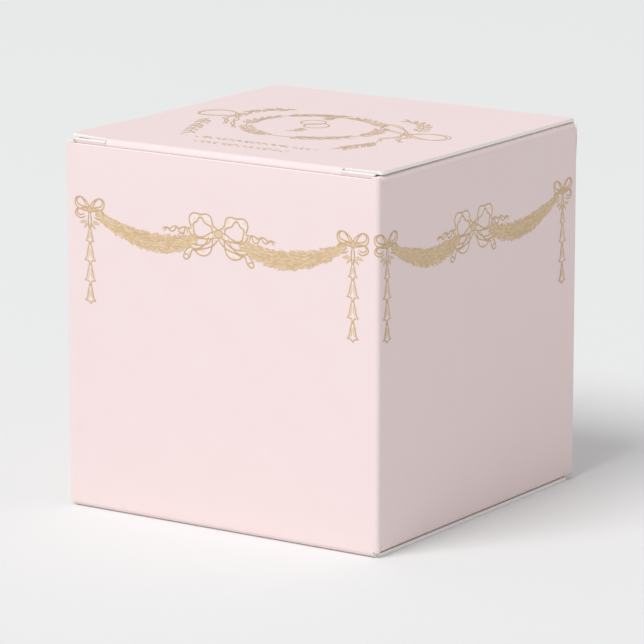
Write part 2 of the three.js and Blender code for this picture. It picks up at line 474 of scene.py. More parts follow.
def board_piece(name, columns, rows, place, butts, crease=None):
    """A closed piece of board from columns of (u, low, high); butts(u, v) says where it isn't cut."""
    u, low, high = (np.array(c, float)[:, None] for c in zip(*columns))
    share = np.linspace(0, 1, rows)[None, :]
    v = low + (high - low) * share
    u = np.repeat(u, rows, axis=1)
    rim = rim_of(*u.shape)
    at = np.array([(u[r], v[r]) for r in rim])
    out = ways_out(at)
    out[butts(at[:, 0], at[:, 1])] = 0
    flat_u, flat_v = u.copy(), v.copy()
    for r, way_out in zip(rim, out):
        flat_u[r] -= EDGE_ROLL * way_out[0]
        flat_v[r] -= EDGE_ROLL * way_out[1]
    size = u.size
    layers = [place(flat_u.ravel(), flat_v.ravel(), np.full(size, 0.0))]
    layers += [place(flat_u.ravel(), flat_v.ravel(), np.full(size, board))]
    through = [np.zeros(size), np.ones(size)]
    for depth, belly in EDGE_PROFILE:
        ring = at + out * belly
        layers.append(place(ring[:, 0], ring[:, 1], np.full(len(rim), depth * board)))
        through.append(np.full(len(rim), depth))
    index = np.arange(size).reshape(u.shape)
    faces, slots = board_faces(index, rim)
    bend = crease(u.ravel(), v.ravel()) if crease else np.zeros(size)
    rim_bend = [bend[index[r]] for r in rim]
    folded = np.concatenate([bend, bend] + [rim_bend] * len(EDGE_PROFILE))
    numbers = {"through": np.concatenate(through), "crease": folded}
    made = to_mesh(name, np.concatenate(layers), faces, slots, BOARD_FACES, **numbers)
    face_outwards(made, sharp=EDGE_SHARP)
    return made


def spread(start, end, step):
    """Evenly spaced places from start to end, about `step` apart."""
    return list(np.linspace(start, end, max(2, round(abs(end - start) / step) + 1)))


print(f"a cut edge's rims are rolled in by {EDGE_ROLL} mm")

# %% [markdown]
# ## The walls aren't flat
# A real carton's walls swell a little in the middle, a raw edge leans in, and the board beads out
# beside a score. A cloth simulation could find such shapes, but board is stiff and the swells are a
# few tenths of a millimetre. So each of them is a short formula, added to a wall's plane.

# %% How far the walls swell
flat_half = half - corner_radius
corner_arc = corner_radius * QUARTER
wall_pitch = 2 * flat_half + corner_arc
seam_flat = inner_layer + board / 2 - corner_radius
WALLS = {"front": 0, "right": 1, "back": 2, "left": -1}
WALL_SWELL = {0: 0.10, 1: 0.16, 2: 0.22, -1: 0.14}  # at the middle of each wall
HINGE_BEAD = {0: 0.10, 2: 0.26}  # beside the cover's score
CORNER_BULGE = {0: 0.05, 1: 0.22, 2: 0.05, -1: 0.05}  # at the corner to the right of each wall
CUT_LEAN = 0.13  # how far a raw edge leans in
BEAD_FROM = 3.0  # a bead starts this far from the end of the wall, and has grown 2 mm further on
LEAN_FROM = 4.0
BULGE_BELOW = 2.1  # a corner bulges this far below the top, over 2 mm each way


def smooth(x):
    """0 to 1 with a soft start and end."""
    x = np.clip(x, 0, 1)
    return x * x * (3 - 2 * x)


def swell(wall, along, z):
    """How far a wall stands out of its plane."""
    middle = np.clip(1 - (along / flat_half) ** 2, 0, 1) ** 2
    upright = np.clip(1 - ((z - top / 2) / (top / 2)) ** 2, 0, 1) ** 0.7
    out = np.select([wall == k for k in WALL_SWELL], list(WALL_SWELL.values())) * middle * upright
    ends = smooth((flat_half - np.abs(along)) / 0.9)
    at_top = smooth((z - (top - BEAD_FROM)) / 2.0) * ends * (wall == 2) * HINGE_BEAD[2]
    at_foot = smooth((BEAD_FROM - z) / 2.0) * ends * (wall == 0) * HINGE_BEAD[0]
    cut_top = smooth((z - (top - LEAN_FROM)) / 3.0) * (wall == 0)
    cut_foot = smooth((LEAN_FROM - z) / 3.0) * (wall == 2)
    return out + at_top + at_foot - CUT_LEAN * (cut_top + cut_foot) * ends


def corner_bulge(s, z):
    """How far the box's upright corners stand out near the top, where the folds push from inside."""
    corner = np.round(s / wall_pitch - 0.5)
    size = np.select([corner == k for k in CORNER_BULGE], list(CORNER_BULGE.values()))
    near = smooth(1 - np.abs(s - (corner + 0.5) * wall_pitch) / 2.2)
    return size * near * smooth(1 - np.abs(z - (top - BULGE_BELOW)) / 2.0)


print("walls swell by", sorted(set(WALL_SWELL.values())), "mm")

# %% [markdown]
# ## The sleeve
# Four walls and a seam flap are one strip, bent at four upright scores. Each panel could be turned
# into place by itself, but then the folds between them would be made to fit. Here one function bends
# the whole strip. A point on it is given by how far round the printed face it lies, by its height,
# and by its depth in the board. Each wall and each fold is its own piece, like the packed nodes, and
# they share this function, so their edges meet exactly.

# %% Bend the strip round the box
def sleeve_place(s, z, depth):
    """Points of the folded strip; s runs to the right over the printed face from the front's middle."""
    wall = np.clip(np.round(s / wall_pitch), -1, 2)
    along = s - wall * wall_pitch
    at_seam = (wall == 2) & (along > seam_flat)
    end = np.where(at_seam, seam_flat, flat_half)
    raw_end = (wall == -1) & (along < 0)
    limit = np.where(at_seam, QUARTER, QUARTER / 2)
    over = np.where(raw_end, 0, np.maximum(np.abs(along) - end, 0))
    angle = np.minimum(over / corner_radius, limit)
    past = np.where(at_seam, over - angle * corner_radius, 0)
    straight = np.where(raw_end, along, np.clip(along, -end, end))
    reach = corner_radius + swell(wall, along, z) + corner_bulge(s, z) - depth
    side = np.sign(along)
    x = straight + side * reach * np.sin(angle)
    y = -half + corner_radius - reach * np.cos(angle) + past
    turn = wall * QUARTER
    points = [x * np.cos(turn) - y * np.sin(turn), x * np.sin(turn) + y * np.cos(turn), z]
    return np.stack(points, axis=1)


print(f"the strip's walls are {wall_pitch:.2f} mm apart, and a corner takes {corner_arc:.2f} mm of it")

# %% [markdown]
# ## Where the strip is cut
# The strip's top and bottom ends differ from wall to wall. The front's top and the back's bottom are
# cut edges, where a flap tucks in. Everywhere else the strip ends where a flap's score begins. At
# each corner a little tab of board stands up between the scores, nearly to the cover. These heights
# could be given wall by wall, but the box reads the same turned over, so a low end is the distance
# from the top of the high end at the opposite wall.

# %% The heights of the strip's ends
side_end = dust_top - flap_radius - butt
hinged_end = top - flap_radius - butt
cut_end = extent("front_wall")[1][2]
flap_low = extent("seam_flap")[0][2]
seam_arc_end = seam_flat + corner_arc
seam_end = seam_arc_end + extent("seam_flap")[1][1] - extent("seam_flap")[0][1]
left_raw_end = -wall_pitch + extent("left_wall")[0][1]
WALL_ENDS = {0: (top - hinged_end, cut_end), 1: (top - side_end, side_end)}
WALL_ENDS[2] = (top - cut_end, hinged_end)
WALL_ENDS[-1] = WALL_ENDS[1]
corner_tab = dust_top - 0.02
hinge_tab = top - 0.7
CORNER_TABS = {-1: (top - hinge_tab, corner_tab), 0: (top - hinge_tab, corner_tab)}
CORNER_TABS[1] = (top - corner_tab, hinge_tab)
TAB_REACH = 0.6  # how far a tab runs on along a wall with a cut edge
TAB_STEP = 0.1  # over which it steps down
SCORE_STEP = 0.05, 0.08  # before and after the line where a wall meets a fold
SEAM_BEVEL = 2.0
print(f"the walls end at {side_end:.2f}, {hinged_end:.2f} and {cut_end:.2f} mm up")

# %% [markdown]
# Boolean cuts could shape the ends, but they leave ragged faces. The two ends are drawn as lines
# instead, left to right along the strip, and a column of the strip runs from one to the other.

# %% Draw the strip's two ends
def strip_ends():
    """Control points (s, low, high) of the strip's two ends, left to right."""
    fold_ends = WALL_ENDS[1]
    raw_tab = CORNER_TABS[1]
    before, beyond = SCORE_STEP
    ends = [(left_raw_end, *raw_tab), (left_raw_end + 0.5, *raw_tab)]
    ends.append((left_raw_end + 0.62, *fold_ends))
    for wall, tab in CORNER_TABS.items():
        corner = wall * wall_pitch + flat_half
        after = corner + corner_arc
        left, right = WALL_ENDS[wall], WALL_ENDS[wall + 1]
        if wall == 0:
            ends.append((corner - TAB_REACH - TAB_STEP, *left))
            ends.append((corner - TAB_REACH, left[0], tab[1]))
            left = (left[0], tab[1])
        if wall == -1:
            right = (right[0], tab[1])
        if wall == 1:
            right = (tab[0], right[1])
        ends += [(corner - before, *left), (corner + beyond, *tab)]
        ends += [(after - beyond, *tab), (after + before, *right)]
        if wall == -1:
            ends.append((after + TAB_REACH, right[0], tab[1]))
        if wall == 1:
            ends.append((after + TAB_REACH, tab[0], right[1]))
        if wall != 0:
            ends.append((after + TAB_REACH + TAB_STEP, *WALL_ENDS[wall + 1]))
    seam_corner = 2 * wall_pitch + seam_flat
    seam_inner = 2 * wall_pitch + seam_arc_end
    ends.append((seam_corner + corner_arc * 0.8, *WALL_ENDS[2]))
    ends.append((seam_inner + 0.1, *WALL_ENDS[1]))
    ends.append((seam_inner + 0.6, flap_low, top - flap_low))
    seam_tip = flap_low + SEAM_BEVEL
    ends.append((2 * wall_pitch + seam_end, seam_tip, top - seam_tip))
    return [np.array(e) for e in zip(*ends)]


END_S, END_LOW, END_HIGH = strip_ends()


def strip_column(s):
    """The strip's column at s."""
    return s, np.interp(s, END_S, END_LOW), np.interp(s, END_S, END_HIGH)


print("the strip's ends turn at", len(END_S), "places")

# %% [markdown]
# ## Walls, upright folds and seam flap
# One function makes any stretch of the strip. A fold needs close columns round its bend, and a wall
# only where its ends turn. Subdividing everything evenly would be simpler, but it would spend most
# faces on flat board.

# %% Make a stretch of the strip
def strip_piece(name, node, start, end, step, rows=22):
    """A stretch of the strip that stands for one packed node."""
    is_fold = end - start < 2

    def butts(s, z):
        wall = np.round(s / wall_pitch)
        joins_left = (s < start + 1e-6) & (start > left_raw_end)
        joins_right = (s > end - 1e-6) & (end < 2 * wall_pitch + seam_end)
        at_score = (np.abs(z - top / 2) - (side_end - top / 2)) ** 2 < 1e-4
        at_foot = (wall == 0) & (z < top - hinged_end + 0.01)
        at_head = (wall == 2) & (abs(z - hinged_end) < 0.01)
        return joins_left | joins_right | at_score & (s < 1.6 * wall_pitch) | at_foot | at_head

    def crease(s, z):
        return smooth(1 - np.abs(s - (start + end) / 2) / (end - start) * 2) if is_fold else s * 0

    places = spread(start, end, step)
    if is_fold:
        places = [start, *spread(start + 0.06, end - 0.06, step), end]
    else:
        turns = {s for s in END_S if start + 0.02 < s < end - 0.02}
        places = sorted({*places, *turns, start + 0.2, start + 1.0, end - 1.0, end - 0.2})
    piece = board_piece(name, [strip_column(s) for s in places], rows, sleeve_place, butts, crease)
    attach(piece, "sleeve")
    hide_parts(node)
    return piece


FLAT_MARGIN = 0.06  # how far a fold piece runs on past its bend
WALL_STEP = 2.4
FOLD_STEP = 0.07
for wall_name, wall in WALLS.items():
    middle = wall * wall_pitch
    first = left_raw_end if wall == -1 else middle - flat_half + FLAT_MARGIN
    last = middle + (seam_flat if wall == 2 else flat_half) - FLAT_MARGIN
    strip_piece(f"{wall_name}_wall_board", f"{wall_name}_wall", first, last, WALL_STEP)
UPRIGHT_FOLDS = {"front_right_fold": 0, "back_right_fold": 1, "front_left_fold": -1}
for node, wall in UPRIGHT_FOLDS.items():
    start = wall * wall_pitch + flat_half - FLAT_MARGIN
    strip_piece(f"{node}_board", node, start, start + corner_arc + 2 * FLAT_MARGIN, FOLD_STEP)
seam_start = 2 * wall_pitch + seam_flat - FLAT_MARGIN
seam_stop = seam_start + corner_arc + 2 * FLAT_MARGIN
strip_piece("seam_fold_board", "seam_fold", seam_start, seam_stop, FOLD_STEP)
strip_piece("seam_flap_board", "seam_flap", seam_stop, 2 * wall_pitch + seam_end, 0.8)
print(f"sleeve: walls {wall_pitch:.2f} mm apart on the strip, seam flap to {seam_end:.2f} mm")

# %% [markdown]
# ## Covers, tuck flaps and dust flaps
# Every flap bends in the same way: the board comes flat to a score, turns with a small radius, and
# goes on flat. A Simple Deform modifier can bend a plane, but it can't hold a small radius between
# two flat stretches. So `folded` works out such a bend anywhere in the box, and every flap is a
# stretch of it. Both ends of the box are alike, only turned over from back to front.

# %% Bend a flap over a score
def folded(origin, run, out, radius, turn, bead=0.0, slit=None):
    """A place function for board that runs along `run`, faces `out`, and bends after v = 0.

    Beyond a slit, at |u| > slit, the board isn't bent: it carries on flat above the fold.
    """
    origin, run, out = (np.array(a, float) for a in (origin, run, out))
    side = np.cross(out, run)

    def place(u, v, depth):
        loose = np.abs(u) > (slit or np.inf)
        angle = np.where(loose, turn, np.clip(v / radius, 0, turn))
        before = np.where(loose, 0, np.minimum(v, 0))
        after = np.where(loose, v - radius * turn, np.maximum(v - radius * turn, 0))
        reach = radius + bead * smooth(angle / turn) - depth
        a = before + reach * np.sin(angle) + after * math.cos(turn)
        b = reach * np.cos(angle) - radius - after * math.sin(turn)
        return origin + a[:, None] * run + b[:, None] * out + u[:, None] * side

    return place


def turned_over(place):
    """The same place at the other end of the box."""
    def over(u, v, depth):
        return place(u, v, depth) * [1, -1, -1] + [0, 0, top]

    return over


print(f"a flap's fold takes {flap_radius * QUARTER:.2f} mm of board for a right angle")

# %% [markdown] ## Folds and flaps A fold is a strip of board over its score, made in its closed
# shape, and a flap's flat panel rides on its body.

# %% Make a fold and a flap
FOLD_ROW = 0.09  # between two rows across a fold


def fold_piece(name, node, across, place, radius, turn, joined=None):
    """The strip of board over a score, from across[0] to across[1].

    It is made in its closed shape. The flap joins it between joined[0] and
    joined[1], and beyond them the strip ends in a cut edge.
    """
    arc = radius * turn
    joined = joined or across
    stations = [-butt, *spread(0, arc, FOLD_ROW), arc + butt]
    columns = [(u, stations[0], stations[-1]) for u in sorted({*spread(*across, 2), *joined})]
    rows = len(stations)

    def stretched(u, v, depth):
        step = (v - stations[0]) / (stations[-1] - stations[0]) * (rows - 1)
        return place(u, np.interp(step, range(rows), stations), depth)

    def crease(u, v):
        share = np.clip((v - stations[0]) / (stations[-1] - stations[0]), 0, 1)
        return smooth(np.sin(share * math.pi))

    def butts(u, v):
        held = (u > joined[0] - 1e-6) & (u < joined[1] + 1e-6)
        return (v < stations[0] + 1e-6) | ((v > stations[-1] - 1e-6) & held)

    piece = board_piece(name, columns, rows, stretched, butts, crease)
    ends = place(np.zeros(2), np.array([0.0, arc]), np.full(2, board / 2)) * MM
    tuple(ends[0])
    tuple(ends[1])
    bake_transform(piece)
    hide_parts(node)
    return piece


def flap_piece(name, node, columns, rows, place, butts, body):
    """A flap's flat panel, riding on its body."""
    piece = board_piece(name, columns, rows, place, butts)
    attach(piece, body)
    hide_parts(node)
    return piece


print(f"a right-angled fold has {len(spread(0, flap_radius * QUARTER, FOLD_ROW)) + 2} rows of points")

# %% [markdown]
# ## The cover
# The lid crowns slightly, and its two corner ledges, free of the tuck fold beyond the slits, lift a
# little: the left one more than the right. Both could be sculpted by hand, but the same outline also
# makes the base. So the crown and the lifts are numbers, and the base is given others.

# %% The cover: lid and base
ledge_front = extent("lid")[0][1]
cover_half = extent("lid")[1][0]
hinge_start = half - flap_radius
tuck_start = -inner_layer + flap_middle * math.tan(tuck_turn / 2)
slit_inner = (extent("top_tuck_fold")[1][0] - extent("top_tuck_fold")[0][0]) / 2
slit_outer = slit_inner + 0.15
LID_SHAPE = (0.16, 0.24, 0.06)  # crown, left ledge's lift, right ledge's lift
BASE_SHAPE = (-0.2, 0.0, 0.0)
LIFT_FROM = 6.0  # a ledge starts to lift this far in front of the middle
LIFT_OVER = 17.0
COVER_CORNER = 0.4


def cover_place(x, y, depth, shape=LID_SHAPE):
    """The closed cover, seen from above at the top end; shape is (crown, left lift, right lift)."""
    deep = (y - tuck_start) / (hinge_start - tuck_start)
    across = np.clip(1 - (x / cover_half) ** 2, 0, 1) ** 2
    crown = shape[0] * across * np.clip(4 * deep * (1 - deep), 0, 1) ** 2
    beyond = np.clip((np.abs(x) - slit_outer) / (cover_half - slit_outer), 0, 1) ** 1.5
    lift = np.where(x < 0, shape[1], shape[2]) * beyond * smooth((-y - LIFT_FROM) / LIFT_OVER)
    return np.stack([x, y, top - depth + crown + lift], axis=1)


def cover_columns():
    """The cover's outline, with rounded back corners, the ledges and the tongue between the slits."""
    tongue = tuck_start + butt
    back = hinge_start - butt
    columns = []
    round_from = cover_half - COVER_CORNER
    for x in spread(slit_outer, round_from, 1.2) + spread(round_from + 0.1, cover_half, 0.1):
        corner = COVER_CORNER - math.sqrt(max(COVER_CORNER**2 - max(x - round_from, 0) ** 2, 0))
        columns.append((x, ledge_front + corner, back))
    tongue_columns = [(x, tongue, back) for x in spread(-slit_inner, slit_inner, 2.2)]
    return [(-x, low, high) for x, low, high in reversed(columns)] + tongue_columns + columns


def cover_butts(x, y):
    """Where the cover joins its hinge fold and, between the slits, its tuck fold."""
    at_tongue = (np.abs(x) < slit_inner + 1e-6) & (y < tuck_start + butt + 1e-6)
    return (y > hinge_start - butt - 1e-6) | at_tongue


print(f"cover: {2 * cover_half:.1f} mm across, with slits {cover_half - slit_outer:.2f} mm in")

# %% [markdown]
# ## The tuck flap's outline
# A tuck flap has round corners, so that it finds its way in, and sides that draw in towards them.
# Its shoulders, outside the slits, catch the dust flaps' edges and lock the lid. The outline could
# be a curve object, filled, but filled curves have long thin triangles that don't bend. Columns do.

# %% The tuck flap's outline
tuck_half = extent("top_tuck_flap")[1][0]
tuck_depth = 13.0
TUCK_CORNER = 6.0
TUCK_TAPER = 1.2
tuck_arc = flap_radius * tuck_turn
tuck_set_back = flap_middle * math.tan(tuck_turn / 2)
SHOULDER_RISE = 0.56  # how far the shoulders stand up beside the fold


def tuck_columns():
    """The tuck flap, as columns across; v runs on from the fold.

    Beyond the slits its shoulders stand up beside the fold, almost to the cover's ledges.
    """
    start = tuck_arc + butt
    end = tuck_arc + tuck_depth - tuck_set_back
    foot = tuck_half - TUCK_TAPER
    columns = []
    for x in spread(0, foot - TUCK_CORNER, 2.2)[1:]:
        columns.append((x, start, end))
    for angle in np.linspace(0.12, QUARTER, 12):
        x = foot - TUCK_CORNER * (1 - math.sin(angle))
        columns.append((x, start, end - TUCK_CORNER * (1 - math.cos(angle))))
    for share in (0.25, 0.5, 0.75, 0.95):
        slope = (end - TUCK_CORNER) * (1 - share) + start * share
        columns.append((foot + TUCK_TAPER * share, start, slope))
    columns[-1] = (columns[-1][0], start, start + 0.3)
    ends = np.array(columns)
    for x in (slit_inner, slit_outer):
        columns.append((x, start, np.interp(x, ends[:, 0], ends[:, 2])))
    columns = sorted(columns)
    shoulder = tuck_arc - SHOULDER_RISE
    columns = [(x, shoulder if x > slit_inner + 0.01 else low, high) for x, low, high in columns]
    return [(-x, low, high) for x, low, high in reversed(columns)] + [(0, start, end)] + columns


print(f"tuck flap: {2 * tuck_half:.1f} mm across, {tuck_depth:.1f} mm deep from the fold line")

# %% [markdown]
# ## A dust flap's outline
# A dust flap closes the corners under the cover. Its front edge is straight, because the tuck flap's
# shoulder locks against it, its back edge slopes to clear the lid's hinge, and its tip is rounded.
# It is drawn in columns as well, from the fold towards the tip.

# %% A dust flap's outline
dust_front = extent("top_right_dust_flap")[0][1]
dust_back = extent("top_right_dust_flap")[1][1]
dust_root = half - flap_radius
dust_tip = extent("top_right_dust_flap")[0][0]
DUST_SLOPE = 0.6
DUST_CORNER = 2.5


def dust_columns():
    """A dust flap as columns from the fold to the tip; u runs towards the tip."""
    reach = dust_root - dust_tip
    columns = []
    for u in spread(butt, reach - DUST_CORNER, 2.2):
        columns.append((u, dust_front, dust_back - DUST_SLOPE * (u - butt)))
    for angle in np.linspace(0.15, QUARTER, 10):
        u = reach - DUST_CORNER * (1 - math.sin(angle))
        inset = DUST_CORNER * (1 - math.cos(angle))
        columns.append((u, dust_front + inset, dust_back - DUST_SLOPE * (u - butt) - inset * 1.3))
    return columns


print(f"dust flap: {dust_root - dust_tip:.1f} mm long, {dust_back - dust_front:.1f} mm wide at its fold")

# %% [markdown]
# ## Closing both ends
# A closed end is a cover, its hinge fold, the tuck fold and flap, and two dust flaps with their
# folds. The bottom end could be mirrored from the top one, but a negative scale turns a mesh inside
# out. It is made again instead, through a place function that is turned over.

# %% Make both closed ends
def closed_end(end, cover_node, shape, turned):
    """All the flaps of one end; `turned` is the identity at the top and `turned_over` at the foot."""
    bead = HINGE_BEAD[2] if end == "top" else HINGE_BEAD[0]
    up = (0, 0, 1)
    hinge = turned(folded((0, hinge_start, top), (0, 1, 0), up, flap_radius, QUARTER, bead))
    slit = (slit_inner + slit_outer) / 2
    tuck_at = (0, tuck_start, top)
    over = turned(folded(tuck_at, (0, -1, 0), up, flap_radius, tuck_turn, slit=slit))

    def flat(x, y, depth):
        return cover_place(x, y, depth, shape)

    name = f"{cover_node}_board"
    flap_piece(name, cover_node, cover_columns(), 26, turned(flat), cover_butts, cover_node)
    node = f"{end}_hinge_fold"
    hinge_half = extent(node)[1][0]
    fold_piece(f"{node}_board", node, (-hinge_half, hinge_half), hinge, flap_radius, QUARTER)
    node = f"{end}_tuck_fold"
    fold_piece(f"{node}_board", node, (-slit_inner, slit_inner), over, flap_radius, tuck_turn)

    def tuck_butts(x, v):
        return (np.abs(x) < slit_inner) & (v < tuck_arc + butt + 1e-6)

    node = f"{end}_tuck_flap"
    flap_piece(f"{node}_board", node, tuck_columns(), 10, over, tuck_butts, f"{end}_tuck")
    for name, side in (("right", 1), ("left", -1)):
        root = (side * dust_root, 0, dust_top)
        edge = turned(folded(root, (side, 0, 0), up, flap_radius, QUARTER))

        def dust_place(u, v, depth, edge=edge, side=side):
            return edge(v * side, -u, depth)

        def dust_butts(u, v):
            return u < butt + 1e-6

        node = f"{end}_{name}_dust_flap"
        body = f"{end}_{name}_dust"
        flap_piece(f"{node}_board", node, dust_columns(), 20, dust_place, dust_butts, body)
        node = f"{end}_{name}_dust_fold"
        across = sorted((side * (0.02 - flat_half), side * (dust_root - 0.02)))
        joined = sorted((side * dust_front, side * dust_back))
        fold_piece(f"{node}_board", node, across, edge, flap_radius, QUARTER, joined)


closed_end("top", "lid", LID_SHAPE, lambda place: place)
closed_end("bottom", "base", BASE_SHAPE, turned_over)

# %% [markdown]
# ## Flowing lines
# An ornament's line goes through a few points that a hand would choose, and flows between them. A
# Bezier curve needs a pair of handles at each point as well. A Catmull-Rom spline goes through its
# points by itself, and is sampled evenly here, so that a pen line has the same step everywhere.

# %% Paths through a few points
def normals_of(path, closed=False):
    """Unit normals to the left of a path."""
    if closed:
        way = np.roll(path, -1, axis=0) - np.roll(path, 1, axis=0)
    else:
        way = np.gradient(path, axis=0)
    way /= np.maximum(np.linalg.norm(way, axis=1), 1e-9)[:, None]
    return np.stack([-way[:, 1], way[:, 0]], axis=1)


def flowing(points, step=0.12, closed=False):
    """A smooth path through a few points (Catmull-Rom), sampled evenly."""
    p = np.asarray(points, float)
    ends = (p[-1], p[0], p[1]) if closed else (2 * p[0] - p[1], 2 * p[-1] - p[-2])
    p = np.vstack([ends[0], p, *ends[1:]])
    pieces = []
    for a, b, c, d in zip(p, p[1:], p[2:], p[3:]):
        t = np.linspace(0, 1, 16, endpoint=False)[:, None]
        square = (2 * a - 5 * b + 4 * c - d) * t**2
        cube = (3 * b - a - 3 * c + d) * t**3
        pieces.append(0.5 * (2 * b + (c - a) * t + square + cube))
    dense = np.vstack([*pieces, p[-2]])
    run = np.concatenate([[0], np.cumsum(np.linalg.norm(np.diff(dense, axis=0), axis=1))])
    even = np.linspace(0, run[-1], max(4, round(run[-1] / step) + 1))
    path = np.stack([np.interp(even, run, dense[:, k]) for k in (0, 1)], axis=1)
    return path[:-1] if closed else path


print("a path through three points has", len(flowing([(0, 0), (1, 1), (2, 0)])), "samples")

# %% [markdown]
# ## Drawing in ink
# A print could be painted on with a shader, but an ornament like this has too many strokes for one.
# So it is drawn flat, one unit to the millimetre, and laid on the board afterwards. Every mark is a
# low closed ridge: two edges just above the board and a crest between them, so it catches the light
# like a film of ink. `Drawing` collects the ridges with the tone of each point.

# %% A flat drawing made of low ridges
LINE = 0.19  # a pen line's width
GOLD_DARK, GOLD, GOLD_LIGHT, CREAM = 0.05, 0.4, 0.62, 1.0
FILL_BASE, FILL_CREST = 0.006, 0.012
LINE_BASE, LINE_CREST = 0.014, 0.034


class Drawing:
    """Ridges of ink in the flat: points (x, y, lift), faces, and a tone for each point."""

    def __init__(self):
        self.points = []
        self.faces = []
        self.tones = []

    def ridge(self, left, crest, right, base, height, edge_tone, crest_tone, closed=False):
        """A ridge between two edges, with its crest on a third path."""
        count = len(crest)
        first = sum(len(p) for p in self.points)
        rows = np.stack([left, crest, right], axis=1)
        lift = np.array([base, height, base])
        lifts = np.repeat(lift[None, :, None], count, axis=0)
        self.points.append(np.concatenate([rows, lifts], axis=2).reshape(-1, 3))
        edge, middle = (np.broadcast_to(tone, count) for tone in (edge_tone, crest_tone))
        self.tones.append(np.stack([edge, middle, edge], axis=1).reshape(-1))
        steps = count if closed else count - 1
        for i in range(steps):
            a, b = first + 3 * i, first + 3 * ((i + 1) % count)
            self.faces += [[a, b, b + 1, a + 1], [a + 1, b + 1, b + 2, a + 2], [a + 2, b + 2, b, a]]
        if not closed:
            last = first + 3 * (count - 1)
            self.faces += [[first, first + 1, first + 2], [last, last + 2, last + 1]]

    def line(self, path, width=LINE, tone=GOLD_DARK, closed=False, ends=0.35):
        """A pen line along a path; its ends taper to a share of its width."""
        path = np.asarray(path, float)
        normal = normals_of(path, closed)
        share = np.ones(len(path))
        if not closed:
            near = np.minimum(np.arange(len(path)), np.arange(len(path))[::-1])
            share = ends + (1 - ends) * np.clip(near / 3, 0, 1)
        reach = normal * (width / 2 * share)[:, None]
        self.ridge(path + reach, path, path - reach, LINE_BASE, LINE_CREST, tone, tone + 0.2, closed)

    def fill(self, left, right, tone=CREAM):
        """A thin filled band between two paths."""
        middle = (left + right) / 2
        self.ridge(left, middle, right, FILL_BASE, FILL_CREST, tone, tone)

    def add(self, points, faces, tones):
        """Takes in marks made elsewhere."""
        first = sum(len(p) for p in self.points)
        self.points.append(points)
        self.tones.append(tones)
        self.faces += [[first + i for i in face] for face in faces]

    def draft(self, name):
        """A flat mesh object of this drawing, in drawing units."""
        mesh = bpy.data.meshes.new(name)
        mesh.from_pydata(np.concatenate(self.points).tolist(), [], self.faces)
        layer = mesh.attributes.new("tone", "FLOAT", "POINT")
        layer.data.foreach_set("value", np.concatenate(self.tones).astype(np.float32))
        made = bpy.data.objects.new(name, mesh)
        bpy.context.scene.collection.objects.link(made)
        return made


print(f"a pen line is {LINE} mm wide and stands {LINE_CREST} mm high")

# %% [markdown]
# ## Ribbons
# A drawn ribbon twists: its two outlines swing apart and cross, as the cosine of the twist. It could
# be a real band of mesh, twisted and seen from the front, but its outline would then depend on the
# light. So a ribbon is a path, a width and a number of half twists, filled with cream, shaded gold
# where it turns its edge, and outlined.

# %% Draw a ribbon
HATCHES = ((0.5, 7), (0.1, 5))  # (place across the ribbon, length in samples) of its shading strokes
HATCH_PITCH = 11


def ribbon(drawing, points, width, half_twists=0.0, phase=0.0, tip=1.0, least=0.0):
    """A twisting ribbon along a path; `tip` is the share of the width left at its far end.

    With `least` over a half its edges don't cross: the ribbon ruffles, as round a full loop.
    """
    path = flowing(points)
    t = np.linspace(0, 1, len(path))
    swing = least + (1 - least) * np.cos(math.pi * half_twists * t + phase)
    reach = width / 2 * swing * (1 + (tip - 1) * t)
    normal = normals_of(path)
    wide = normal * np.abs(reach)[:, None]
    drawing.fill(path + wide, path - wide, GOLD + (CREAM - GOLD) * smooth(np.abs(swing) * 1.5))
    edge = normal * reach[:, None]
    drawing.line(path + edge)
    drawing.line(path - edge)
    for share, length in HATCHES:
        for start in range(2, len(path) - length, HATCH_PITCH):
            if abs(swing[start]) > 0.45:
                drawing.line((path + edge * share)[start:start + length], LINE * 0.8, GOLD_LIGHT)


def mirrored(points, side):
    """Points as drawn, or mirrored for side -1."""
    return [(side * x, y) for x, y in points]


def moved(points, at):
    """Points moved into place."""
    return np.asarray(points, float) + np.asarray(at)


print("a ribbon is shaded by", len(HATCHES), "rows of short strokes")

# %% [markdown]
# ## Bows
# A bow is a knot and pairs of ribbons, and its right half is the left one mirrored. Only one half is
# drawn, by a few listed points for each ribbon. The great bow hangs in the middle of a wall, and
# a small one at each corner.

# %% Draw knots and bows
def knot(drawing, at, width, height):
    """A small rounded knot with two pinch lines."""
    angle = np.linspace(0, 2 * math.pi, 20, endpoint=False)
    ring = np.stack([width / 2 * np.cos(angle), height / 2 * np.sin(angle)], axis=1)
    upper = np.stack([np.linspace(-0.5, 0.5, 9) * width, np.full(9, 0.4) * height], axis=1)
    lower = upper * [1, -1]
    drawing.fill(moved(upper, at), moved(lower, at), GOLD_LIGHT)
    drawing.line(moved(ring, at), closed=True)
    for x in (-0.17, 0.17):
        pinch = [(x * width, -0.3 * height), (x * width * 0.6, 0), (x * width, 0.3 * height)]
        drawing.line(moved(flowing(pinch), at), LINE * 0.8, GOLD)


